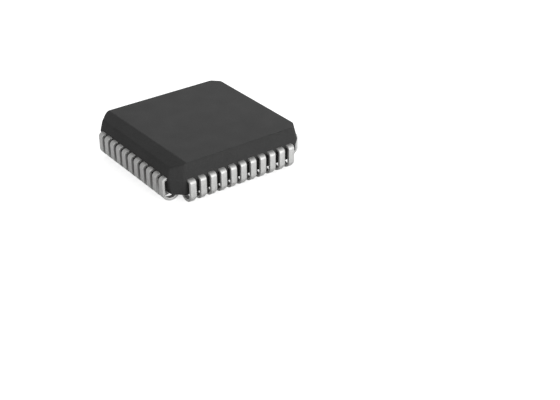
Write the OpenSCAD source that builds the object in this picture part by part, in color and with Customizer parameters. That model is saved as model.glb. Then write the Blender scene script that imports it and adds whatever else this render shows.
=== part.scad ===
/* [Package body] */
// Distance from the last lead's centre line to the side of the body at its parting line
end_margin = 1.91; // [1.6:0.01:2.4]
// Height of the underside above the seating plane
standoff = 0.78; // [0.6:0.01:1.1]
// Height of the moulding below its parting line
lower_half = 1.93; // [1.6:0.01:2.3]
// Height of the moulding above its parting line
upper_half = 1.86; // [1.6:0.01:2.3]
// Draft of the side walls, in degrees, the same above and below the parting line
draft_angle = 10; // [3:0.5:12]
// Leg of the chamfer on the three plain corners
corner_leg = 0.9; // [0.6:0.05:1.3]
// Leg of the chamfer on the index corner, between side 1 and side 2
index_leg = 1.2; // [0.8:0.05:1.5]
// How far the bevel along side 1 reaches in over the top face
bevel_run = 1.22; // [0.5:0.01:1.6]
// How far the bevel along side 1 reaches down the wall
bevel_drop = 0.62; // [0.3:0.01:0.9]
// Radius of the crease between the bevel and the wall of side 1
bevel_round = 0.5; // [0.2:0.05:0.8]

/* [Leads] */
// Leads on each of the four sides, an odd number
leads_per_side = 11; // [9:2:13]
// Distance between neighbouring leads
lead_pitch = 1.27; // [1.2:0.01:1.4]
// Thickness of the lead frame sheet
lead_t = 0.33; // [0.2:0.01:0.36]
// Width of the upper lead, from the body to the crank
shoulder_w = 0.74; // [0.6:0.01:0.85]
// Width of the lower lead, which is soldered
foot_w = 0.53; // [0.33:0.01:0.6]
// How far the outer faces of the leads stand outside the parting line
lead_reach = 0.565; // [0.45:0.005:0.7]
// Inside radius of the bend at the shoulder
shoulder_r = 0.12; // [0.05:0.01:0.15]
// Inside radius of the bend at the crank
crank_r = 0.3; // [0.1:0.01:0.4]
// Lean of the cranked stretch from the vertical, in degrees
crank_angle = 38; // [30:1:45]
// Height over which the lead narrows below the crank
narrowing = 0.65; // [0.3:0.01:0.75]
// Outside radius of the curled foot
foot_r = 1.1; // [1:0.01:1.15]
// Distance from the outer face of a lead in to its line of contact
contact_inset = 1.145; // [1.1:0.005:1.25]
// Gap between the tip of the curl and the underside
tip_gap = 0.1; // [0.05:0.01:0.15]

/* [Lead frame inside] */
// How far the fingers reach in from the parting line
finger_l = 4; // [3.5:0.05:4.5]
// Length of finger inside the wall that keeps the full width
root_l = 0.9; // [0.6:0.05:1.2]
// Gap between the tips of neighbouring fingers
finger_gap = 0.3; // [0.2:0.01:0.35]
// Room left for the tie bar between the last fingers of two sides
tie_room = 0.42; // [0.38:0.01:0.6]
// Gap between the finger tips and the die pad
pad_gap = 0.45; // [0.3:0.01:0.8]
// Width of the tie bars at the corners of the die pad
tie_w = 0.4; // [0.25:0.01:0.5]
// Run of the slope in each tie bar, from the pad's level to the fingers' level
tie_slope = 0.6; // [0.4:0.05:1]
// How far the trimmed ends of the tie bars lie inside the corners
tie_cutback = 0.25; // [0.1:0.01:0.5]

/* [Die and wires] */
// Border of die pad left round the die
die_margin = 0.6; // [0.4:0.01:0.9]
// Thickness of the silicon die
die_t = 0.38; // [0.25:0.01:0.5]
// Thickness of the adhesive under the die
attach_t = 0.04; // [0.02:0.005:0.06]
// How far the adhesive squeezes out round the die
attach_bleed = 0.1; // [0.02:0.01:0.2]
// Distance of the bonds on the die from its edge
bond_inset = 0.15; // [0.08:0.01:0.3]
// Distance of the bonds on the fingers from their tips
stitch_inset = 0.25; // [0.15:0.01:0.4]
// Height of the wire loops above the die
loop_h = 0.28; // [0.2:0.01:0.4]
// Diameter of the bond wire
wire_d = 0.033; // [0.025:0.001:0.05]

/* [Hidden] */
lead_count = 4 * leads_per_side;
middle = (leads_per_side - 1) / 2;

// Levels above the seating plane
part_z = standoff + lower_half;
top_z = part_z + upper_half;
frame_top = part_z + lead_t / 2;
frame_bottom = part_z - lead_t / 2;
pad_top = frame_top - die_t - attach_t;
pad_bottom = pad_top - lead_t;

// Half sizes of the body at its parting line, top and underside
part_half = middle * lead_pitch + end_margin;
top_half = part_half - upper_half * tan(draft_angle);
base_half = part_half - lower_half * tan(draft_angle);
bevel_half = top_half + bevel_drop * tan(draft_angle);

// Side view of a lead: distances from the middle of the package, and heights
lead_half = part_half + lead_reach;
shoulder_ro = shoulder_r + lead_t;
crank_ro = crank_r + lead_t;
contact_half = lead_half - contact_inset;
crank_x = lead_half - crank_ro;
crank_lift = (crank_x - contact_half) * cos(crank_angle) - (foot_r - crank_ro);
crank_z = foot_r + crank_lift / sin(crank_angle);
tip_angle = 180 - asin((foot_r - standoff + tip_gap) / (foot_r - lead_t));

// Plan of the lead frame
tip_half = part_half - finger_l;
root_half = part_half - root_l;
tip_pitch = 2 * (tip_half - tie_room) / leads_per_side;
pad_half = tip_half - pad_gap;
die_half = pad_half - die_margin;
bond_half = die_half - bond_inset;
stitch_half = tip_half + stitch_inset;
bond_pitch = 2 * bond_half / leads_per_side;

// Overlap that keeps joined shapes in one piece, a length past every face, and the angle between arc points
lap = 0.01;
past = 4 * lead_half;
arc_step = 9;

mould_colour = "#4b4b4b";
tin_colour = "#c9c9c6";
copper_colour = "#b87a4e";
silicon_colour = "#5a6070";
adhesive_colour = "#a9a9a4";
gold_colour = "#d4af4f";

function two_digits(n) = str(n < 10 ? "0" : "", n);
function lead_name(n) = str("lead_", two_digits(n));
LEADS = [for (n = [1:lead_count]) lead_name(n)];

// Lead 1 is in the middle of side 1, and the count runs anticlockwise seen from above
function place_of(n) = n - 1 + floor(middle);
function side_of(n) = floor(place_of(n) / leads_per_side) % 4;
function step_of(n) = place_of(n) % leads_per_side - middle;

// Distance along the side of a finger's centre line, at a distance from the middle of the package
function finger_at(step, x) =
    step * (tip_pitch + (lead_pitch - tip_pitch) * (x - tip_half) / (root_half - tip_half));

// Turns +X to face out of a side: side 1 faces -Y, and side 2 faces +X
module on_side(side) {
    rotate([0, 0, 90 * side - 90])
        children();
}

// Stands a side view, drawn as distance and height, upright along +X with a given width
module upright(width) {
    rotate([90, 0, 0])
        linear_extrude(height = width, center = true)
            children();
}

// Half of the drafted section across two walls, from the underside round the parting line to the top
function wall() = [[base_half, standoff], [part_half, part_z], [top_half, top_z]];
// The same along a diagonal, where a chamfer with the given leg cuts the corner off
function corner(leg) = [for (p = wall()) [(2 * p[0] - leg) / sqrt(2), p[1]]];
function reversed(points) = [for (i = [len(points) - 1:-1:0]) points[i]];
function mirrored(points) = [for (p = reversed(points)) [-p[0], p[1]]];

// A full section, from the half on +X to the half on -X
module section(right, left) {
    upright(past)
        polygon(concat(right, mirrored(left)));
}

// The half section through side 1, where a rounded crease leads from the wall over to the bevel
function bevelled() =
    let (
        bevel_angle = atan2(bevel_half - top_half + bevel_run, bevel_drop),
        inset = bevel_round / (1 + cos(bevel_angle - draft_angle)),
        x = bevel_half - inset * (cos(draft_angle) + cos(bevel_angle)),
        z = top_z - bevel_drop - inset * (sin(draft_angle) + sin(bevel_angle))
    )
    concat(
        [wall()[0], wall()[1]],
        arc(x, z, bevel_round, draft_angle, bevel_angle),
        [[top_half - bevel_run, top_z]]
    );

module body_block() {
    intersection() {
        on_side(1)
            section(wall(), wall());
        on_side(0)
            section(bevelled(), wall());
        on_side(0.5)
            section(corner(index_leg), corner(corner_leg));
        on_side(1.5)
            section(corner(corner_leg), corner(corner_leg));
    }
}

module mould_body() {
    color(mould_colour)
        difference() {
            body_block();
            for (n = [1:lead_count])
                lead_metal(n);
            pad_metal();
            attach_layer();
            die_block();
            wire_loops();
        }
}

// A round stretch of a side view: the points on an arc about a centre, between two angles
function arc(x, z, r, from, to) =
    let (count = ceil(abs(to - from) / arc_step))
    [for (i = [0:count]) let (a = from + (to - from) * i / count) [x + r * cos(a), z + r * sin(a)]];

// One face of the formed sheet, from the body round the bends to the tip, at its depth in the sheet
function sheet_face(depth) = concat(
    [[root_half - lap, frame_top - depth]],
    arc(lead_half - shoulder_ro, frame_top - shoulder_ro, shoulder_ro - depth, 90, 0),
    arc(crank_x, crank_z, crank_ro - depth, 0, -crank_angle),
    arc(contact_half, foot_r, foot_r - depth, -crank_angle, -tip_angle)
);

// The formed lead outside the body, at its full width all the way down
module lead_strip() {
    upright(shoulder_w)
        polygon(concat(sheet_face(0), reversed(sheet_face(lead_t))));
}

// Front view of a lead, wide above the crank and narrow below it
module lead_front() {
    half_w = shoulder_w / 2;
    half_f = foot_w / 2;
    narrow_z = crank_z - narrowing;
    rotate([90, 0, 90])
        linear_extrude(height = past)
            polygon([
                [half_f, -lap],
                [half_f, narrow_z],
                [half_w, crank_z],
                [half_w, top_z],
                [-half_w, top_z],
                [-half_w, crank_z],
                [-half_f, narrow_z],
                [-half_f, -lap]
            ]);
}

// The flat finger inside the body, from the full width at the wall in to its tip
module finger(step) {
    half_w = shoulder_w / 2;
    half_t = (tip_pitch - finger_gap) / 2;
    root_y = step * lead_pitch;
    tip_y = step * tip_pitch;
    translate([0, 0, frame_bottom])
        linear_extrude(height = lead_t)
            polygon([
                [root_half, root_y - half_w],
                [root_half, root_y + half_w],
                [tip_half, tip_y + half_t],
                [tip_half, tip_y - half_t]
            ]);
}

module lead_metal(n) {
    on_side(side_of(n)) {
        translate([0, step_of(n) * lead_pitch, 0])
            intersection() {
                lead_strip();
                lead_front();
            }
        finger(step_of(n));
    }
}

module lead(n) {
    color(tin_colour)
        lead_metal(n);
}

// A square slab about the middle of the package
module slab(half, z, height) {
    translate([-half, -half, z])
        cube([2 * half, 2 * half, height]);
}

// A tie bar along a diagonal: level with the pad, up a slope, then level with the fingers
module tie_bar(leg) {
    start_x = pad_half;
    low_x = pad_half * sqrt(2);
    high_x = low_x + tie_slope;
    end_x = (2 * part_half - leg) / sqrt(2) - tie_cutback;
    upright(tie_w)
        polygon([
            [start_x, pad_bottom],
            [low_x, pad_bottom],
            [high_x, frame_bottom],
            [end_x, frame_bottom],
            [end_x, frame_top],
            [high_x, frame_top],
            [low_x, pad_top],
            [start_x, pad_top]
        ]);
}

module pad_metal() {
    slab(pad_half, pad_bottom, lead_t);
    for (side = [0:3])
        on_side(side + 0.5)
            tie_bar(side == 0 ? index_leg : corner_leg);
}

module die_pad() {
    color(copper_colour)
        pad_metal();
}

module attach_layer() {
    slab(die_half + attach_bleed, pad_top, attach_t);
}

module die_attach() {
    color(adhesive_colour)
        attach_layer();
}

module die_block() {
    slab(die_half, frame_top - die_t, die_t);
}

module silicon_die() {
    color(silicon_colour)
        die_block();
}

// One wire, an arc over the gap from a bond on the die to a bond on its finger
module wire(step) {
    run_x = stitch_half - bond_half;
    run_y = finger_at(step, stitch_half) - step * bond_pitch;
    span = sqrt(run_x * run_x + run_y * run_y);
    loop_r = (span * span / 4 + loop_h * loop_h) / (2 * loop_h);
    sweep = 2 * asin(span / 2 / loop_r) + 2 * asin(wire_d / loop_r);
    translate([bond_half + run_x / 2, step * bond_pitch + run_y / 2, frame_top + loop_h - loop_r])
        rotate([0, 0, atan2(run_y, run_x)])
            rotate([90, sweep / 2 - 90, 0])
                rotate_extrude(angle = sweep, $fn = 64)
                    translate([loop_r, 0])
                        circle(d = wire_d, $fn = 6);
}

module wire_loops() {
    intersection() {
        for (side = [0:3])
            on_side(side)
                for (step = [-middle:middle])
                    wire(step);
        slab(part_half, frame_top, top_z - frame_top);
    }
}

module bond_wires() {
    color(gold_colour)
        wire_loops();
}

mould_body();
die_pad();
die_attach();
silicon_die();
bond_wires();
for (n = [1:lead_count])
    lead(n);
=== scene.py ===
import math

import bmesh
import bpy
from mathutils import Matrix, Vector


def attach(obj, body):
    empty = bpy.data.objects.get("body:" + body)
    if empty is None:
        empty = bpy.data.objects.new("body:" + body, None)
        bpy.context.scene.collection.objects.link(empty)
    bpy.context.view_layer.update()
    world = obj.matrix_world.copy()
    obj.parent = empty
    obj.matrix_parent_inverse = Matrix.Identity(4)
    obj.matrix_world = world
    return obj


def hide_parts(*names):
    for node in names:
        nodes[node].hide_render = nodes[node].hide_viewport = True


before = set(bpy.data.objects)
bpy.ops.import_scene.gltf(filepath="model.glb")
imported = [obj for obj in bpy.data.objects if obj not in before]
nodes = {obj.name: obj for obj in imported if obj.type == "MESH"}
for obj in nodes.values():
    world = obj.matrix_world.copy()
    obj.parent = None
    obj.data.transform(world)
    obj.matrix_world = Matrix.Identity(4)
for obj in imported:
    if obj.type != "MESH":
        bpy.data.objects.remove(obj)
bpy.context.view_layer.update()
scene = bpy.context.scene

# Sizes are in millimetres until a finished mesh is written in metres.
MM = 0.001

# Moulded body: levels above the board, half width at the parting line, and cuts at its corners and top.
UNDERSIDE_Z = 0.78
PARTING_Z = 2.71
TOP_Z = 4.57
PARTING_HALF = 8.26
DRAFT = math.radians(10)
CORNER_LEG = 0.9
INDEX_LEG = 1.2
BEVEL_RUN = 1.22
BEVEL_DROP = 0.62

# The bevel along side 1: half widths at its crease on the wall and at its rim on the top.
BEVEL_HALF = PARTING_HALF - (TOP_Z - BEVEL_DROP - PARTING_Z) * math.tan(DRAFT)
BEVEL_RIM = PARTING_HALF - (TOP_Z - PARTING_Z) * math.tan(DRAFT) - BEVEL_RUN

# Moulded edges: the radius of the bevel's crease, and how far the other edges are rounded on either side.
CREASE_RADIUS = 0.5
CORNER_ROUND = 0.2
UNDERSIDE_ROUND = 0.2
RIM_ROUND = 0.08
RIM_TURN = math.radians(20)

# How close points of the body are that make one corner, where several cuts meet, and that are on one level.
SAME_CORNER = 0.03
SAME_LEVEL = 0.001

# Leads: sheet, widths, bends and the places along a lead's side view. Radii are those of the outer face.
LEADS_PER_SIDE = 11
PITCH = 1.27
SHEET = 0.33
SHOULDER_WIDTH = 0.74
FOOT_WIDTH = 0.53
OUTER_FACE = 8.825
SHOULDER_RADIUS = 0.45
CRANK_RADIUS = 0.63
CRANK_LEAN = math.radians(38)
NARROWING = 0.65
FOOT_RADIUS = 1.1
CONTACT_LINE = 7.68
TIP_GAP = 0.1
BEND_STEP = math.radians(7.5)
SHEARED_EDGE = 0.055
SHEARED_TURN = math.radians(60)

# The finger of each lead, inside the body: it keeps its width to the root, then fans in to its tip.
FINGER_ROOT = 7.36
FINGER_TIP = 4.26
FINGER_PITCH = 0.6982
FINGER_GAP = 0.3

# A noise pattern seldom leaves this range.
NOISE_LOW = 0.3
NOISE_HIGH = 0.7

# Pieces sealed in the body: finish, dark and light shade, size of its patches, metallic and roughness.
# Stamped copper alloy is a satin red-brown. Adhesive full of silver flake is a dull, flecked grey.
# Polished silicon is a slate-blue mirror, and drawn gold wire is bright yellow.
SEALED_FINISHES = {
    "die_pad": ("stamped_copper_alloy", "#a5683f", "#bd8258", 0.6, 1.0, 0.35),
    "die_attach": ("silver_filled_adhesive", "#9a9a96", "#b9b9b4", 0.1, 0.0, 0.6),
    "silicon_die": ("polished_silicon", "#4c5262", "#626a7d", 0.4, 0.6, 0.15),
    "bond_wires": ("drawn_gold_wire", "#cfa545", "#dfbd62", 0.2, 1.0, 0.25),
}


def linear(hex_colour):
    """A written sRGB colour as linear RGBA."""
    channels = [int(hex_colour[i:i + 2], 16) / 255 for i in (1, 3, 5)]
    return [c / 12.92 if c <= 0.04045 else ((c + 0.055) / 1.055) ** 2.4 for c in channels] + [1.0]


def per_mm(size):
    """The scale of a pattern on Object coordinates whose features are this many millimetres wide."""
    return 1 / (size * MM)


def add_node(tree, kind, inputs, **settings):
    """Adds a node with its settings. An input is a value, or the output that is linked into it."""
    node = tree.nodes.new(kind)
    for name, value in settings.items():
        setattr(node, name, value)
    for name, value in inputs.items():
        if isinstance(value, bpy.types.NodeSocket):
            tree.links.new(value, node.inputs[name])
        else:
            node.inputs[name].default_value = value
    return node


def new_material(name):
    """An empty node material with its output, and the Object coordinates that every pattern reads."""
    material = bpy.data.materials.new(name)
    material.use_nodes = True
    tree = material.node_tree
    tree.nodes.clear()
    output = add_node(tree, "ShaderNodeOutputMaterial", {})
    place = add_node(tree, "ShaderNodeTexCoord", {}).outputs["Object"]
    return material, tree, output, place


def epoxy_moulding_compound():
    """Silica-filled black epoxy, moulded in a spark-eroded cavity: matte charcoal, with the cavity's fine
    grain and a faint cloudiness where the filler and the release wax lie unevenly."""
    material, tree, output, place = new_material("epoxy_moulding_compound")
    cloud = add_node(tree, "ShaderNodeTexNoise", {
        "Vector": place, "Scale": per_mm(2.5), "Detail": 4.0,
    })
    # The real grit is about 0.03 mm across. It is drawn four times as coarse, or it would not show.
    grit = add_node(tree, "ShaderNodeTexNoise", {
        "Vector": place, "Scale": per_mm(0.12), "Detail": 2.0,
    })
    shade = add_node(tree, "ShaderNodeMapRange", {
        "Value": cloud.outputs["Fac"], "From Min": NOISE_LOW, "From Max": NOISE_HIGH,
    })
    speck = add_node(tree, "ShaderNodeMapRange", {
        "Value": grit.outputs["Fac"], "From Min": NOISE_LOW, "From Max": NOISE_HIGH,
        "To Min": 0.88, "To Max": 1.12,
    })
    tone = add_node(tree, "ShaderNodeMix", {
        "Factor": shade.outputs["Result"], "A": linear("#3b3b3b"), "B": linear("#3e3e3e"),
    }, data_type="RGBA")
    grain = add_node(tree, "ShaderNodeVectorMath", {
        0: tone.outputs["Result"], "Scale": speck.outputs["Result"],
    }, operation="SCALE")
    gloss = add_node(tree, "ShaderNodeMapRange", {
        "Value": cloud.outputs["Fac"], "From Min": NOISE_LOW, "From Max": NOISE_HIGH,
        "To Min": 0.82, "To Max": 0.79,
    })
    relief = add_node(tree, "ShaderNodeBump", {
        "Height": grit.outputs["Fac"], "Strength": 0.5, "Distance": 0.015 * MM,
    })
    surface = add_node(tree, "ShaderNodeBsdfPrincipled", {
        "Base Color": grain.outputs["Vector"], "Roughness": gloss.outputs["Result"],
        "Normal": relief.outputs["Normal"], "IOR": 1.5, "Specular IOR Level": 0.14,
    })
    tree.links.new(surface.outputs["BSDF"], output.inputs["Surface"])
    return material


def matte_tin_plate():
    """Matte tin over copper alloy sheet: a pale, soft grey, clouded by its crystals, with fine drag marks
    down the lead from the forming die."""
    material, tree, output, place = new_material("matte_tin_plate")
    crystals = add_node(tree, "ShaderNodeTexNoise", {
        "Vector": place, "Scale": per_mm(0.35), "Detail": 3.0,
    })
    # Drag marks are a few hundredths wide and run down the lead, so the pattern is stretched along Z.
    along = add_node(tree, "ShaderNodeMapping", {
        "Vector": place, "Scale": (per_mm(0.07), per_mm(0.07), per_mm(1.2)),
    })
    drag = add_node(tree, "ShaderNodeTexNoise", {
        "Vector": along.outputs["Vector"], "Scale": 1.0, "Detail": 2.0,
    })
    tone = add_node(tree, "ShaderNodeMix", {
        "Factor": crystals.outputs["Fac"], "A": linear("#d3d3d2"), "B": linear("#e9e9e8"),
    }, data_type="RGBA")
    gloss = add_node(tree, "ShaderNodeMapRange", {
        "Value": drag.outputs["Fac"], "From Min": NOISE_LOW, "From Max": NOISE_HIGH,
        "To Min": 0.56, "To Max": 0.68,
    })
    relief = add_node(tree, "ShaderNodeBump", {
        "Height": drag.outputs["Fac"], "Strength": 0.2, "Distance": 0.006 * MM,
    })
    surface = add_node(tree, "ShaderNodeBsdfPrincipled", {
        "Base Color": tone.outputs["Result"], "Metallic": 1.0, "Roughness": gloss.outputs["Result"],
        "Normal": relief.outputs["Normal"],
    })
    tree.links.new(surface.outputs["BSDF"], output.inputs["Surface"])
    return material


def sealed_finish(name, dark, light, patch, metallic, roughness):
    """The finish of a piece sealed in the body: two shades of its colour, in patches."""
    material, tree, output, place = new_material(name)
    patches = add_node(tree, "ShaderNodeTexNoise", {
        "Vector": place, "Scale": per_mm(patch), "Detail": 3.0,
    })
    tone = add_node(tree, "ShaderNodeMix", {
        "Factor": patches.outputs["Fac"], "A": linear(dark), "B": linear(light),
    }, data_type="RGBA")
    surface = add_node(tree, "ShaderNodeBsdfPrincipled", {
        "Base Color": tone.outputs["Result"], "Metallic": metallic, "Roughness": roughness,
    })
    tree.links.new(surface.outputs["BSDF"], output.inputs["Surface"])
    return material


def finish_piece(bm, name, turn, material, replaced):
    """Writes a finished shape in metres, turned to its side of the package, to stand for its CAD node."""
    bmesh.ops.recalc_face_normals(bm, faces=bm.faces)
    bmesh.ops.transform(bm, verts=bm.verts, matrix=Matrix.Rotation(turn, 4, "Z") @ Matrix.Scale(MM, 4))
    for face in bm.faces:
        face.smooth = True
    mesh = bpy.data.meshes.new(name)
    bm.to_mesh(mesh)
    bm.free()
    mesh.materials.append(material)
    piece = bpy.data.objects.new(name, mesh)
    scene.collection.objects.link(piece)
    flats = piece.modifiers.new("flat_faces_stay_flat", "WEIGHTED_NORMAL")
    flats.weight = 80
    flats.keep_sharp = True
    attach(piece, "root")
    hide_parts(replaced)


def round_edges(bm, edges, reach, segments):
    """Rounds edges off, up to a distance on either side of them."""
    bmesh.ops.bevel(
        bm, geom=edges, offset=reach, segments=segments, profile=0.5, affect="EDGES", material=-1,
    )
    bm.normal_update()


def moulding_planes():
    """Every flat face of the body, as a point on it and its outward normal."""
    planes = [((0, 0, TOP_Z), (0, 0, 1)), ((0, 0, UNDERSIDE_Z), (0, 0, -1))]
    planes.append(((0, -BEVEL_RIM, TOP_Z), (0, -BEVEL_DROP, BEVEL_HALF - BEVEL_RIM)))
    for quarter in range(4):
        side = Matrix.Rotation(math.radians(90 * quarter), 3, "Z") @ Vector((1, 0, 0))
        corner = Matrix.Rotation(math.radians(90 * quarter - 45), 3, "Z") @ Vector((1, 0, 0))
        leg = INDEX_LEG if quarter == 0 else CORNER_LEG
        reach = (2 * PARTING_HALF - leg) / math.sqrt(2)
        for up in (1, -1):
            lean = Vector((0, 0, up * math.tan(DRAFT)))
            planes.append((side * PARTING_HALF + Vector((0, 0, PARTING_Z)), side + lean))
            planes.append((corner * reach + Vector((0, 0, PARTING_Z)), corner + lean * math.sqrt(2)))
    return planes


def is_facet(face):
    """Whether a face cuts a corner of the body off."""
    return abs(abs(face.normal.x) - abs(face.normal.y)) < 0.01 and abs(face.normal.z) < 0.5


def is_level(face):
    """Whether a face is the top or the underside of the body."""
    return abs(face.normal.z) > 0.999


def runs_at(edge, height):
    """Whether an edge runs level at a height."""
    return all(abs(v.co.z - height) < SAME_LEVEL for v in edge.verts)


def moulded_body(material):
    """A block cut back to its drafted walls, corner facets and side-1 bevel, with moulded edges."""
    bm = bmesh.new()
    bmesh.ops.create_cube(bm, size=4 * PARTING_HALF)
    for point, outward in moulding_planes():
        cut = bmesh.ops.bisect_plane(
            bm, geom=bm.verts[:] + bm.edges[:] + bm.faces[:], plane_co=point, plane_no=outward,
            clear_outer=True,
        )
        rim = [e for e in cut["geom_cut"] if isinstance(e, bmesh.types.BMEdge)]
        bmesh.ops.edgeloop_fill(bm, edges=rim)
    bmesh.ops.remove_doubles(bm, verts=bm.verts, dist=SAME_CORNER)
    crease = [e for e in bm.edges if runs_at(e, TOP_Z - BEVEL_DROP)]
    turn = crease[0].calc_face_angle()
    round_edges(bm, crease, CREASE_RADIUS * math.tan(turn / 2), segments=6)
    uprights = [e for e in bm.edges if sum(is_facet(f) for f in e.link_faces) == 1
                and not any(is_level(f) for f in e.link_faces) and not runs_at(e, PARTING_Z)]
    round_edges(bm, uprights, CORNER_ROUND, segments=4)
    underside = [e for e in bm.edges if any(is_level(f) and f.normal.z < 0 for f in e.link_faces)]
    round_edges(bm, underside, UNDERSIDE_ROUND, segments=4)
    rims = [e for e in bm.edges if e.calc_face_angle() > RIM_TURN and not runs_at(e, PARTING_Z)]
    round_edges(bm, rims, RIM_ROUND, segments=3)
    # The two halves of the mould meet in a crisp line.
    for edge in bm.edges:
        edge.smooth = not runs_at(edge, PARTING_Z)
    finish_piece(bm, "moulded_body", 0, material, "mould_body")


def push(bm, end, offset):
    """Extrudes the end of a strip in a straight line, and returns its new end."""
    made = bmesh.ops.extrude_face_region(bm, geom=[end])["geom"]
    bmesh.ops.translate(bm, verts=[v for v in made if isinstance(v, bmesh.types.BMVert)], vec=offset)
    return next(f for f in made if isinstance(f, bmesh.types.BMFace))


def bend(bm, end, x, z, angle):
    """Spins the end of a strip down and in about a line across it, and returns its new end."""
    made = bmesh.ops.spin(
        bm, geom=[end], cent=(x, 0, z), axis=(0, 1, 0), angle=angle,
        steps=math.ceil(angle / BEND_STEP),
    )
    return next(f for f in made["geom_last"] if isinstance(f, bmesh.types.BMFace))


def formed_lead(number, material):
    """One lead, from the tip of its finger in the body, over its shoulder and crank, to its curled foot."""
    # Lead 1 is in the middle of side 1.
    seat = number - 1 + LEADS_PER_SIDE // 2
    side = seat // LEADS_PER_SIDE % 4
    step = seat % LEADS_PER_SIDE - LEADS_PER_SIDE // 2
    shoulder_x = OUTER_FACE - SHOULDER_RADIUS
    shoulder_z = PARTING_Z + SHEET / 2 - SHOULDER_RADIUS
    # The straight stretch between the crank and the foot touches both of their arcs.
    crank_x = OUTER_FACE - CRANK_RADIUS
    crank_lift = (crank_x - CONTACT_LINE) * math.cos(CRANK_LEAN) - (FOOT_RADIUS - CRANK_RADIUS)
    crank_z = FOOT_RADIUS + crank_lift / math.sin(CRANK_LEAN)
    run = (CONTACT_LINE - crank_x) + (FOOT_RADIUS - CRANK_RADIUS) * math.cos(CRANK_LEAN)
    drop = (FOOT_RADIUS - crank_z) - (FOOT_RADIUS - CRANK_RADIUS) * math.sin(CRANK_LEAN)
    # The foot curls until the inside of its tip is just short of the underside.
    tip_drop = (FOOT_RADIUS - UNDERSIDE_Z + TIP_GAP) / (FOOT_RADIUS - SHEET)
    curl = math.pi - math.asin(tip_drop) - CRANK_LEAN

    bm = bmesh.new()
    across = Matrix.Translation((FINGER_TIP, 0, PARTING_Z)) @ Matrix.Rotation(math.pi / 2, 4, "Y")
    tip = bmesh.ops.create_grid(
        bm, x_segments=1, y_segments=1, size=0.5,
        matrix=across @ Matrix.Diagonal((SHEET, SHOULDER_WIDTH, 1, 1)),
    )["verts"]
    end = push(bm, tip[0].link_faces[0], (FINGER_ROOT - FINGER_TIP, 0, 0))
    bmesh.ops.scale(bm, verts=tip, vec=(1, (FINGER_PITCH - FINGER_GAP) / SHOULDER_WIDTH, 1))
    bmesh.ops.translate(bm, verts=tip, vec=(0, step * (FINGER_PITCH - PITCH), 0))
    end = push(bm, end, (shoulder_x - FINGER_ROOT, 0, 0))
    end = bend(bm, end, shoulder_x, shoulder_z, math.pi / 2)
    end = push(bm, end, (0, 0, crank_z - shoulder_z))
    end = bend(bm, end, crank_x, crank_z, CRANK_LEAN)
    end = push(bm, end, (run, 0, drop))
    bend(bm, end, CONTACT_LINE, FOOT_RADIUS, curl)
    # Each stretch of the strip has left its first face inside.
    inside = [f for f in bm.faces if all(len(e.link_faces) > 2 for e in f.edges)]
    bmesh.ops.delete(bm, geom=inside, context="FACES_ONLY")

    for vert in bm.verts:
        share = min(max((crank_z - vert.co.z) / NARROWING, 0), 1)
        vert.co.y *= 1 - share * (1 - FOOT_WIDTH / SHOULDER_WIDTH)
    sheared = [e for e in bm.edges if e.calc_face_angle(0) > SHEARED_TURN]
    round_edges(bm, sheared, SHEARED_EDGE, segments=3)
    bmesh.ops.translate(bm, verts=bm.verts, vec=(0, step * PITCH, 0))
    name = f"lead_{number:02d}"
    finish_piece(bm, f"formed_{name}", math.radians(90 * side - 90), material, name)


def soft_box(name, place, size, power):
    """A square soft box that looks at the part."""
    data = bpy.data.lights.new(name, "AREA")
    data.shape = "SQUARE"
    data.size = size
    data.energy = power
    lamp = bpy.data.objects.new(name, data)
    scene.collection.objects.link(lamp)
    lamp.location = place
    lamp.rotation_euler = (-Vector(place)).to_track_quat("-Z", "Y").to_euler()


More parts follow.
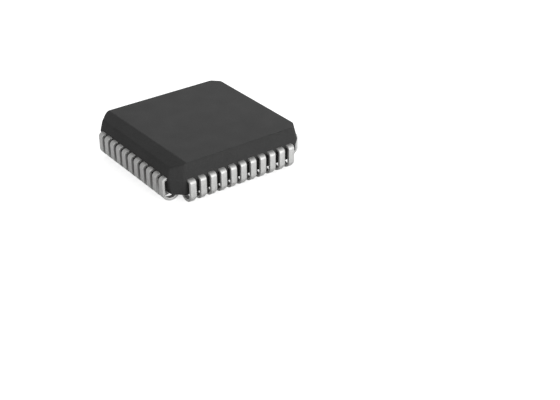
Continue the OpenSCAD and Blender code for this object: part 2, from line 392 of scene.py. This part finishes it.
def white_floor():
    """A wide sheet of white paper under the part. The camera and reflections see it as paper with a glow,
    which for the camera reaches white and leaves some of the shadow. To all other light it is plain paper."""
    material, tree, output, _ = new_material("white_paper_floor")
    ray = add_node(tree, "ShaderNodeLightPath", {})
    paper = add_node(tree, "ShaderNodeBsdfDiffuse", {"Color": linear("#f8f8f8")})
    lit_paper = add_node(tree, "ShaderNodeBsdfDiffuse", {"Color": linear("#d2d2d2")})
    strength = add_node(tree, "ShaderNodeMath", {
        0: ray.outputs["Is Camera Ray"], 1: 0.7, 2: 0.04,
    }, operation="MULTIPLY_ADD")
    glow = add_node(tree, "ShaderNodeEmission", {
        "Color": linear("#ffffff"), "Strength": strength.outputs["Value"],
    })
    bright = add_node(tree, "ShaderNodeAddShader", {
        0: lit_paper.outputs["BSDF"], 1: glow.outputs["Emission"],
    })
    seen = add_node(tree, "ShaderNodeMath", {
        0: ray.outputs["Is Camera Ray"], 1: ray.outputs["Is Glossy Ray"],
    }, operation="ADD")
    shown = add_node(tree, "ShaderNodeMath", {
        0: seen.outputs["Value"], 1: ray.outputs["Is Transmission Ray"],
    }, operation="ADD", use_clamp=True)
    surface = add_node(tree, "ShaderNodeMixShader", {
        "Fac": shown.outputs["Value"], 1: paper.outputs["BSDF"], 2: bright.outputs["Shader"],
    })
    tree.links.new(surface.outputs["Shader"], output.inputs["Surface"])
    bm = bmesh.new()
    bmesh.ops.create_grid(bm, x_segments=1, y_segments=1, size=4.0)
    mesh = bpy.data.meshes.new("floor")
    bm.to_mesh(mesh)
    bm.free()
    mesh.materials.append(material)
    floor = bpy.data.objects.new("floor", mesh)
    scene.collection.objects.link(floor)


def studio_world():
    """An even, dim room round the table."""
    world = bpy.data.worlds.new("studio")
    world.use_nodes = True
    tree = world.node_tree
    tree.nodes.clear()
    output = add_node(tree, "ShaderNodeOutputWorld", {})
    room = add_node(tree, "ShaderNodeBackground", {"Color": linear("#ffffff"), "Strength": 0.4})
    tree.links.new(room.outputs["Background"], output.inputs["Surface"])
    scene.world = world


def photo_camera():
    """The photograph's viewpoint, solved from the rows of leads and the edges of the top."""
    azimuth = math.radians(52.9468)
    elevation = math.radians(30.3382)
    back = Vector((
        math.sin(azimuth) * math.cos(elevation),
        -math.cos(azimuth) * math.cos(elevation),
        math.sin(elevation),
    ))
    data = bpy.data.cameras.new("photo_camera")
    data.sensor_fit = "HORIZONTAL"
    data.sensor_width = 36
    data.lens = 67.5322
    data.clip_start = 0.005
    data.clip_end = 20
    camera = bpy.data.objects.new("photo_camera", data)
    scene.collection.objects.link(camera)
    camera.location = (0.0889252, -0.0557304, 0.0554129)
    camera.rotation_euler = (-back).to_track_quat("-Z", "Y").to_euler()
    scene.camera = camera


moulded_body(epoxy_moulding_compound())
tin = matte_tin_plate()
for lead_number in range(1, 4 * LEADS_PER_SIDE + 1):
    formed_lead(lead_number, tin)
# The sealed pieces keep their solids.
for node_name, finish in SEALED_FINISHES.items():
    nodes[node_name].material_slots[0].material = sealed_finish(*finish)

white_floor()
studio_world()
# From behind comes the sheen on the top, from the right the light on side 2, and in front a fill on side 1.
soft_box("left_soft_box", (-0.65, 0.65, 0.38), 0.6, 6.4)
soft_box("right_soft_box", (0.9, 0.2, 0.2), 0.5, 5.4)
soft_box("front_soft_box", (0.35, -0.85, 0.55), 0.6, 1.5)
photo_camera()
scene.view_settings.view_transform = "Standard"
